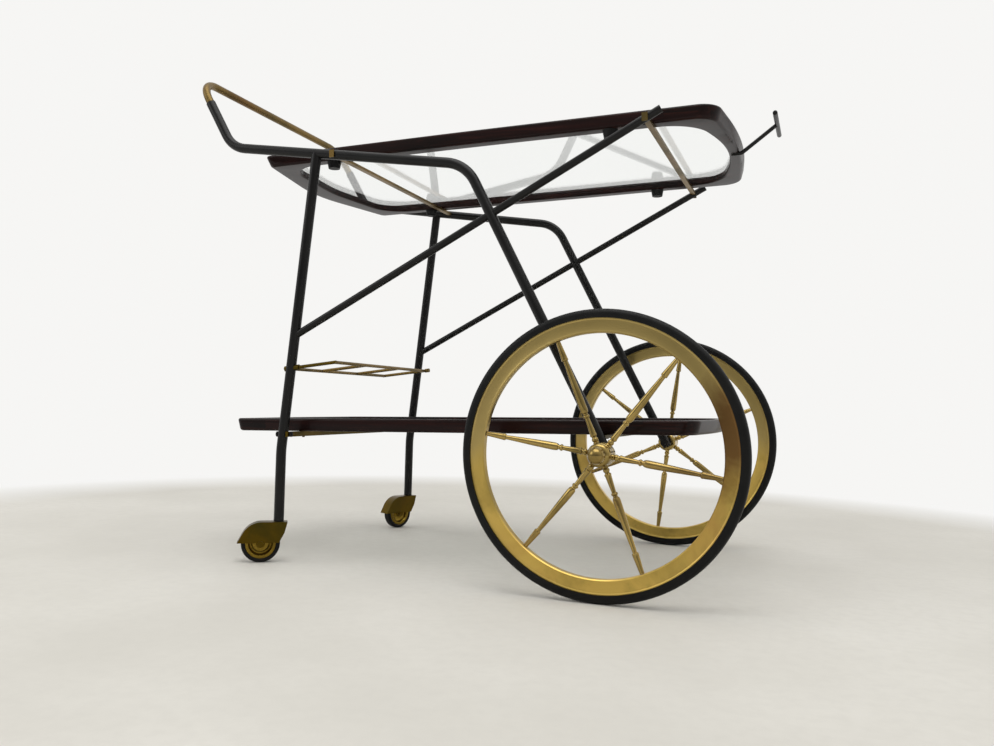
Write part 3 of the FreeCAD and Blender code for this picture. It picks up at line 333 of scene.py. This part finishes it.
# %% Black paint
black_paint = Paint("satin_black_paint")
place = black_paint.place()
patches = black_paint.noise(place, 14.0, detail=5.0)
rubs = black_paint.noise(place, 40.0, detail=3.0, roughness=0.6)
colour = black_paint.ramp(patches, (0.3, (0.003, 0.003, 0.003)), (0.7, (0.007, 0.0065, 0.006)))
black_paint.set(Base_Color=black_paint.mix(black_paint.range(rubs, 0.0, 0.5, 0.66, 0.8), colour,
                                           (0.02, 0.017, 0.014)),
                Roughness=black_paint.range(patches, 0.28, 0.42, 0.3, 0.7),
                Specular_IOR_Level=0.24)
black_paint.bump(rubs, 0.0001, 0.3)

# %% [markdown]
# ## Brass
# Old brass is a metal with a stained skin. Its colour runs from a clean yellow to olive and
# copper-brown patches, and stained places are also duller, so one noise drives both the colour and
# the roughness. Four kinds are made here: polished brass for the turned wheel parts, dull brown
# brass for the handle, the bars and the bottle rack, a darker gold for the castors' discs, and
# nearly black bronze for their hoods. The rims' kind follows with the wheels.

# %% Brass


def make_brass(name, clean, olive, copper, dullness, patches=None):
    """Stained brass; patches may lay further colour of one piece over its skin."""
    brass = Paint(name)
    place = brass.place()
    stain = brass.noise(place, 9.0, detail=6.0, roughness=0.6, distortion=0.6)
    blush = brass.noise(place, 4.0, detail=4.0, distortion=1.2)
    specks = brass.noise(place, 70.0, detail=2.0, roughness=0.6)
    skin = brass.ramp(stain, (0.36, olive), (0.56, clean))
    skin = brass.mix(brass.range(blush, 0.0, 0.6, 0.58, 0.7), skin, copper)
    skin = brass.mix(brass.range(specks, 0.0, 0.45, 0.6, 0.75), skin, olive)
    if patches:
        skin = patches(brass, place, stain, skin)
    brass.set(Base_Color=skin, Metallic=1.0,
              Roughness=brass.range(stain, dullness + 0.12, dullness, 0.35, 0.62))
    brass.bump(specks, 0.00005, 0.35)
    return brass.material


golden_brass = make_brass("golden_brass", (0.42, 0.3, 0.1), (0.2, 0.145, 0.048),
                          (0.25, 0.145, 0.052), 0.14)
aged_brass = make_brass("aged_brass", (0.19, 0.122, 0.038), (0.12, 0.088, 0.033),
                        (0.16, 0.077, 0.025), 0.36)
castor_gold = make_brass("castor_gold", (0.22, 0.145, 0.022), (0.12, 0.08, 0.014),
                         (0.14, 0.075, 0.018), 0.26)
dark_brass = make_brass("dark_brass", (0.1, 0.063, 0.007), (0.065, 0.05, 0.009),
                        (0.085, 0.042, 0.009), 0.36)

# %% [markdown]
# ## Dark varnished wood
# The trays are a dark reddish wood under a glossy varnish. Grain runs along a board, so the noise
# is stretched: fine across the board and slow along it. The varnish is a clear coat over the wood,
# which gives the sharp highlights along the rims.

# %% Wood
WOOD_ALONG = 0.05


def make_wood(name, turn):
    wood = Paint(name)
    place = wood.place(scale=(WOOD_ALONG, 1.0, 1.0), turn=(0, 0, turn))
    grain = wood.noise(place, 260.0, detail=6.0, roughness=0.65, distortion=0.4)
    bands = wood.noise(place, 45.0, detail=3.0, distortion=1.5)
    dark = wood.ramp(bands, (0.35, (0.005, 0.003, 0.0025)), (0.65, (0.014, 0.0045, 0.004)))
    wood.set(Base_Color=wood.mix(wood.range(grain, 0.0, 0.7, 0.5, 0.75), dark,
                                 (0.04, 0.01, 0.007)),
             Roughness=0.34, Specular_IOR_Level=0.1, Coat_Weight=0.08, Coat_Roughness=0.08)
    wood.bump(grain, 0.00006, 0.3)
    return wood.material


rail_wood = make_wood("dark_wood_rails", 0.0)
end_wood = make_wood("dark_wood_ends", math.radians(80))

# %% [markdown]
# ## Glass and rubber
# The tray glass is clear and only slightly milky, so most light goes straight through. Rubber is
# almost black and has no clear reflections.

# %% Glass and rubber
tray_glass = Paint("tray_glass")
smears = tray_glass.noise(tray_glass.place(), 6.0, detail=4.0)
tray_glass.set(Base_Color=(0.965, 0.98, 0.972), Transmission_Weight=1.0, IOR=1.45,
               Specular_IOR_Level=0.2,
               Roughness=tray_glass.range(smears, 0.0, 0.03, 0.4, 0.7))

rubber = Paint("black_rubber")
dust = rubber.noise(rubber.place(), 30.0, detail=6.0, roughness=0.7)
rubber.set(Base_Color=rubber.ramp(dust, (0.4, (0.002, 0.0023, 0.0022)),
                                  (0.75, (0.007, 0.0068, 0.0062))),
           Roughness=rubber.range(dust, 0.42, 0.6), Specular_IOR_Level=0.2)
rubber.bump(rubber.noise(rubber.place(), 300.0), 0.00003, 0.4)

# %% [markdown]
# ## Turned pieces
# Tyres, rims, spokes, hubs and ball nuts are all turned on a lathe or rolled round, so each is one
# outline spun round an axis. The outline is a chain of a few points; where the real edge is
# rounded, the point is bevelled before the spin, which keeps the numbers few.

# %% Lathe helpers
MM = 0.001
X_AXIS = Vector((1, 0, 0))
Y_AXIS = Vector((0, 1, 0))
CREASE = math.radians(28)
MERGE = 1e-6


def middle(node):
    low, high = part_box(node)
    return (low + high) / 2


def outline(shape, points, closed=False):
    """Join points, each (across, along) in millimetres, into a chain in the XY plane."""
    corners = [shape.verts.new((x * MM, y * MM, 0)) for x, y in points]
    chain = [shape.edges.new(pair) for pair in zip(corners, corners[1:])]
    if closed:
        chain.append(shape.edges.new((corners[-1], corners[0])))
    return corners


def round_corners(shape, corners, offset, steps=5):
    bmesh.ops.bevel(shape, geom=corners, offset=offset * MM, segments=steps, profile=0.5,
                    affect="VERTICES", material=-1)


def spin_round(shape, axis, steps):
    """Spin everything drawn so far a full turn round an axis through the origin."""
    bmesh.ops.spin(shape, geom=shape.verts[:] + shape.edges[:], axis=axis, cent=(0, 0, 0),
                   angle=math.tau, steps=steps, use_merge=True)
    bmesh.ops.remove_doubles(shape, verts=shape.verts, dist=MERGE)
    bmesh.ops.recalc_face_normals(shape, faces=shape.faces)


def finish_piece(shape, name, material, *nodes, crease=CREASE):
    """Make the mesh an object that rides with, and stands for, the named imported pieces."""
    for face in shape.faces:
        face.smooth = True
    for edge in shape.edges:
        edge.smooth = len(edge.link_faces) == 2 and edge.calc_face_angle() < crease
    mesh = bpy.data.meshes.new(name)
    shape.to_mesh(mesh)
    shape.free()
    mesh.materials.clear()
    mesh.materials.append(material)
    piece = bpy.data.objects.new(name, mesh)
    bpy.context.scene.collection.objects.link(piece)
    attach(piece, frame["nodes"][nodes[0]]["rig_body"])
    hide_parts(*nodes)
    done.update(nodes)
    print(name, "has", len(mesh.polygons), "faces")


slot_of = {part["node"]: part["material_slot"] for part in frame["record"]["subparts"]}
done = set()

# %% [markdown]
# ### Colour by height and a copper blush on the wheels
# The rims are a darker grey olive above a ragged line a little over the axle, set by height
# alone, and the near rim has a copper-brown blush on one side. Object coordinates are the places
# on the trolley at rest, so a height above the axle and a distance from one point put both marks
# where they belong, and they turn with the wheel.

# %% Brass of the wheels
AXLE = middle("near_wheel_rim")
UPPER_RIM_COLOUR = (0.42, 0.32, 0.125)
UPPER_RIM_BORDER = (0.045, 0.085)
RAGGEDNESS = 0.14
COPPER_BROWN = (0.13, 0.055, 0.018)
COPPER_SPOT = AXLE + Vector((0.165, 0.0, 0.035))
COPPER_REACH = 0.1
COPPER_FADE = 0.05
UPPER_RIM_STRENGTH = 0.8
COPPER_STRENGTH = 0.85


def rim_height_colour_and_copper(brass, place, stain, skin):
    height = brass.add("ShaderNodeSeparateXYZ")
    brass.join(place, height.inputs[0])
    ragged = brass.add("ShaderNodeMath", operation="MULTIPLY_ADD")
    ragged.inputs[1].default_value = RAGGEDNESS
    brass.join(stain, ragged.inputs[0])
    brass.join(height.outputs["Z"], ragged.inputs[2])
    low, high = (AXLE.z + border for border in UPPER_RIM_BORDER)
    # Above a ragged line a little over the axle, the rims get a darker grey olive by height alone.
    skin = brass.mix(brass.range(ragged.outputs[0], 0.0, UPPER_RIM_STRENGTH, low, high), skin, UPPER_RIM_COLOUR)
    distance = brass.add("ShaderNodeVectorMath", operation="DISTANCE")
    brass.join(place, distance.inputs[0])
    distance.inputs[1].default_value = COPPER_SPOT
    spread = brass.add("ShaderNodeMath", operation="MULTIPLY_ADD")
    spread.inputs[1].default_value = RAGGEDNESS
    brass.join(stain, spread.inputs[0])
    brass.join(distance.outputs["Value"], spread.inputs[2])
    blush = brass.range(spread.outputs[0], COPPER_STRENGTH, 0.0, COPPER_REACH,
                        COPPER_REACH + COPPER_FADE)
    return brass.mix(blush, skin, COPPER_BROWN)


rim_brass = make_brass("rim_brass", (0.64, 0.445, 0.115), (0.42, 0.3, 0.08), (0.43, 0.25, 0.075),
                       0.3, rim_height_colour_and_copper)

# %% [markdown]
# ### Tyres and rims
# The tyre is a rounded rubber ring pressed round the brass rim. The rim's flat side is slightly
# hollow, with a rolled edge on the inside, which catches a thin line of light.

# %% Tyres and rims
WHEEL_STEPS = 144
TYRE_OUTER = 190.0
TYRE_INNER = 178.0
TYRE_HALF = 8.5
TYRE_ROUND = 7.0
RIM_OUTER = 178.5
RIM_INNER = 158.5
RIM_HALF = 6.0
ROLLED_EDGE = 1.4
RIM_HOLLOW = 0.8
RIM_LIP = 1.5
ROLL_FOOT = 4.0
ROLL_SHOULDER = 2.5
SHOULDER_DROP = 0.2

for side in ("near", "far"):
    centre = middle(side + "_wheel_rim")
    shape = bmesh.new()
    corners = outline(shape, ((TYRE_INNER, -TYRE_HALF), (TYRE_OUTER, -TYRE_HALF),
                              (TYRE_OUTER, TYRE_HALF), (TYRE_INNER, TYRE_HALF)), closed=True)
    round_corners(shape, corners[1:3], TYRE_ROUND, steps=8)
    spin_round(shape, Y_AXIS, WHEEL_STEPS)
    bmesh.ops.translate(shape, verts=shape.verts, vec=centre)
    finish_piece(shape, side + "_tyre", rubber.material, side + "_wheel_tyre")

    shape = bmesh.new()
    half = ((RIM_OUTER, RIM_HALF), (RIM_OUTER - RIM_LIP, RIM_HALF),
            (RIM_OUTER - 2 * RIM_LIP, RIM_HALF - RIM_HOLLOW),
            (RIM_INNER + ROLL_FOOT, RIM_HALF - RIM_HOLLOW),
            (RIM_INNER + ROLL_SHOULDER, RIM_HALF - SHOULDER_DROP),
            (RIM_INNER + ROLLED_EDGE, RIM_HALF), (RIM_INNER, RIM_HALF - ROLLED_EDGE))
    outline(shape, [(r, -y) for r, y in half] + [(r, y) for r, y in reversed(half)], closed=True)
    spin_round(shape, Y_AXIS, WHEEL_STEPS)
    bmesh.ops.translate(shape, verts=shape.verts, vec=centre)
    finish_piece(shape, side + "_rim", rim_brass, side + "_wheel_rim")

# %% [markdown]
# ### Spokes
# Each spoke is a turned brass baluster: a bead at the hub, a short flare, a pair of rings, a long
# belly that thins towards the rim, one more ring and a cone. One spoke is turned along X, tipped
# outwards, because the hub lies further in than the rim, and copied round the axle.

# %% Spokes
SPOKE_OUTLINE = (
    (15.6, 0.0), (15.6, 4.0), (17.6, 4.0), (18.4, 3.3), (19.6, 4.2), (21.0, 4.5), (22.4, 4.2),
    (23.6, 3.3), (25.2, 3.2), (26.0, 4.4), (27.2, 4.8), (28.4, 4.4), (29.2, 4.2), (38.0, 3.7),
    (49.5, 3.0), (51.0, 3.0), (51.8, 4.1), (53.2, 4.6), (54.6, 4.1), (55.4, 3.2), (57.4, 3.2),
    (58.2, 4.3), (60.0, 4.9), (63.0, 5.2), (72.0, 5.1), (90.0, 4.6), (110.0, 3.8), (129.0, 3.0),
    (130.6, 3.0), (131.4, 4.2), (132.8, 4.7), (134.4, 4.4), (137.0, 4.3), (148.0, 3.6),
    (158.3, 3.0), (158.3, 0.0),
)
SPOKES = 6
SPOKE_STEPS = 20
WHEEL_TURN = {"near": math.radians(-8.0), "far": math.radians(23.7)}

for side in ("near", "far"):
    hub = middle(side + "_wheel_hub")
    rim = middle(side + "_wheel_rim")
    shape = bmesh.new()
    outline(shape, SPOKE_OUTLINE)
    spin_round(shape, X_AXIS, SPOKE_STEPS)
    dish = math.atan2(rim.y - hub.y, RIM_INNER * MM)
    bmesh.ops.rotate(shape, verts=shape.verts, matrix=Matrix.Rotation(dish, 3, "Z"))
    one_spoke = shape.verts[:] + shape.edges[:] + shape.faces[:]
    for count in range(1, SPOKES):
        copy = bmesh.ops.duplicate(shape, geom=one_spoke)["geom"]
        verts = [item for item in copy if isinstance(item, bmesh.types.BMVert)]
        turn = Matrix.Rotation(math.tau * count / SPOKES, 3, "Y")
        bmesh.ops.rotate(shape, verts=verts, matrix=turn)
    bmesh.ops.rotate(shape, verts=shape.verts,
                     matrix=Matrix.Rotation(-WHEEL_TURN[side], 3, "Y"))
    bmesh.ops.translate(shape, verts=shape.verts, vec=hub)
    finish_piece(shape, side + "_spokes", golden_brass, side + "_wheel_spokes")

# %% [markdown]
# ### Hubs and ball nuts
# The hub is a short barrel with a raised band where the spokes go in and a shoulder that rounds
# down to the axle. A ball-shaped brass nut closes the axle's end. The ball starts as a whole sphere
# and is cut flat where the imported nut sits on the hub.

# %% Hubs and ball nuts
HUB_OUTLINE = (
    (5.1, -18.0), (13.5, -18.0), (15.5, -16.5), (15.5, -8.5), (14.2, -7.5), (15.5, -6.5),
    (15.5, 6.5), (14.4, 7.5), (14.4, 9.0), (15.6, 10.0), (15.6, 13.0), (14.6, 15.4), (12.6, 17.2),
    (10.6, 18.0), (5.1, 18.0),
)
HUB_STEPS = 48
BALL_RADIUS = 11.5
BALL_SEGMENTS = 40
BALL_RINGS = 24

for side, outward in (("near", -1), ("far", 1)):
    shape = bmesh.new()
    outline(shape, [(radius, outward * y) for radius, y in HUB_OUTLINE], closed=True)
    spin_round(shape, Y_AXIS, HUB_STEPS)
    bmesh.ops.translate(shape, verts=shape.verts, vec=middle(side + "_wheel_hub"))
    finish_piece(shape, side + "_hub", golden_brass, side + "_wheel_hub")

    low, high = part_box(side + "_ball_nut")
    tip = low.y if outward < 0 else high.y
    centre = middle(side + "_ball_nut")
    centre.y = tip - outward * BALL_RADIUS * MM
    shape = bmesh.new()
    bmesh.ops.create_uvsphere(shape, u_segments=BALL_SEGMENTS, v_segments=BALL_RINGS,
                              radius=BALL_RADIUS * MM,
                              matrix=Matrix.Rotation(math.radians(90), 4, "X"))
    seat = outward * (abs(centre.y) - min(abs(low.y), abs(high.y)))
    bmesh.ops.bisect_plane(shape, geom=shape.verts[:] + shape.edges[:] + shape.faces[:],
                           plane_co=(0, -seat, 0), plane_no=(0, -outward, 0), clear_outer=True)
    cut_edges = [edge for edge in shape.edges if edge.is_boundary]
    bmesh.ops.contextual_create(shape, geom=cut_edges)
    bmesh.ops.translate(shape, verts=shape.verts, vec=centre)
    finish_piece(shape, side + "_ball", golden_brass, side + "_ball_nut")

# %% [markdown]
# ### Castor discs
# Each castor wheel is a pressed brass dish with a boss and two rolled rings. It is turned round Y
# like the big wheels, then swung until its axis lies on the castor's own axle, which the packed
# joint gives.

# %% Castor discs
DISC_HALF = (
    (3.0, 7.2), (6.0, 7.2), (6.8, 6.4), (7.2, 3.0), (12.0, 2.4), (14.6, 3.8), (16.0, 3.4),
    (17.0, 5.8), (18.4, 7.2), (21.4, 7.4), (22.6, 6.9), (23.0, 5.5),
)
DISC_STEPS = 64

for joint in frame["joints"]:
    if not joint["name"].endswith("castor_roll"):
        continue
    node = joint["name"].replace("roll", "disc")
    shape = bmesh.new()
    outline(shape, [(r, -y) for r, y in DISC_HALF] + [(r, y) for r, y in reversed(DISC_HALF)],
            closed=True)
    spin_round(shape, Y_AXIS, DISC_STEPS)
    swing = Y_AXIS.rotation_difference(Vector(joint["axis"])).to_matrix()
    bmesh.ops.rotate(shape, verts=shape.verts, matrix=swing)
    bmesh.ops.translate(shape, verts=shape.verts, vec=joint["pos_m"])
    finish_piece(shape, node + "_dish", castor_gold, node)

# %% [markdown]
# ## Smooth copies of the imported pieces
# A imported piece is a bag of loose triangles, so its round faces look cut. Merging the corners of a
# copy and shading it smooth, with a crease wherever two faces meet at a real angle, gives the
# round look back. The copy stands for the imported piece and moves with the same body.

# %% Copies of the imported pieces


def merged_copy(node):
    shape = bmesh.new()
    shape.from_mesh(frame["nodes"][node].data)
    bmesh.ops.remove_doubles(shape, verts=shape.verts, dist=MERGE)
    return shape


def smooth_copy(node, material):
    finish_piece(merged_copy(node), node + "_dressed", material, node)


# %% [markdown]
# ### Tray ends that lean out
# The wooden walls at both ends of a tray lean outwards, so their top edge stands about five
# millimetres beyond the underside. At the upper tray's handle end the lean is twice as much, and the
# foot of the wall stands a little further out too. Only the outer wall leans: it is found by its
# faces, which look away from the tray's middle, and each of its corners moves out in proportion to
# its height. The lean starts from nothing where an end piece meets the side rails, so no gap opens.

# %% Tray ends
TRAY_TILT = math.radians(1.567)
TRAY_ALONG = Vector((math.cos(TRAY_TILT), 0, math.sin(TRAY_TILT)))
TRAY_UP = Vector((-math.sin(TRAY_TILT), 0, math.cos(TRAY_TILT)))
WALL_LEAN = 5.5 * MM
HANDLE_END_LEAN = 11.0 * MM
HANDLE_END_REACH = 6.0 * MM
LEAN_START = 80 * MM
LEAN_FULL = 40 * MM
FLATTEST_WALL = 0.05
OUTWARD = 0.68


def lean_ends(shapes, handle_lean, handle_reach):
    """Lean the outer end walls of one tray's pieces, which share a middle and a size."""
    corners = [vert.co for shape in shapes for vert in shape.verts]
    along = [TRAY_ALONG.dot(spot) for spot in corners]
    heights = [TRAY_UP.dot(spot) for spot in corners]
    half_length = (max(along) - min(along)) / 2
    half_width = max(spot.y for spot in corners)
    centre = (max(along) + min(along)) / 2
    floor_level, thick = min(heights), max(heights) - min(heights)

    def looks_out(face):
        level_part = face.normal - TRAY_UP * TRAY_UP.dot(face.normal)
        spot = face.calc_center_median()
        outward = (TRAY_ALONG * ((TRAY_ALONG.dot(spot) - centre) / half_length)
                   + Y_AXIS * (spot.y / half_width))
        return (level_part.length > FLATTEST_WALL
                and level_part.normalized().dot(outward.normalized()) > OUTWARD)

    for shape in shapes:
        walls = {vert for face in shape.faces if looks_out(face) for vert in face.verts}
        for vert in walls:
            place = TRAY_ALONG.dot(vert.co) - centre
            from_end = half_length - abs(place)
            share = min(max((LEAN_START - from_end) / (LEAN_START - LEAN_FULL), 0), 1)
            rise = (TRAY_UP.dot(vert.co) - floor_level) / thick
            move = handle_reach + handle_lean * rise if place < 0 else WALL_LEAN * rise
            vert.co += TRAY_ALONG * math.copysign(move * share, place)


for tray, lean, reach in (("top_tray", HANDLE_END_LEAN, HANDLE_END_REACH),
                          ("lower_tray", WALL_LEAN, 0.0)):
    woods = [node for node in sorted(frame["nodes"])
             if node.startswith(tray) and slot_of[node] == "dark_wood"]
    shapes = [merged_copy(node) for node in woods]
    lean_ends(shapes, lean, reach)
    for node, shape in zip(woods, shapes):
        finish_piece(shape, node + "_dressed", rail_wood if node.endswith("rail") else end_wood,
                     node)
    print(tray, "has", len(woods), "wooden pieces")

# %% [markdown]
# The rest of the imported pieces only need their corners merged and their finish.

# %% Dress the other pieces
finish_of_slot = {
    "black_metal": black_paint.material,
    "brass": aged_brass,
    "dark_brass": dark_brass,
    "clear_glass": tray_glass.material,
    "black_rubber": rubber.material,
}
for node in sorted(set(frame["nodes"]) - done):
    smooth_copy(node, finish_of_slot[slot_of[node]])
print(len(frame["nodes"]), "pieces dressed")
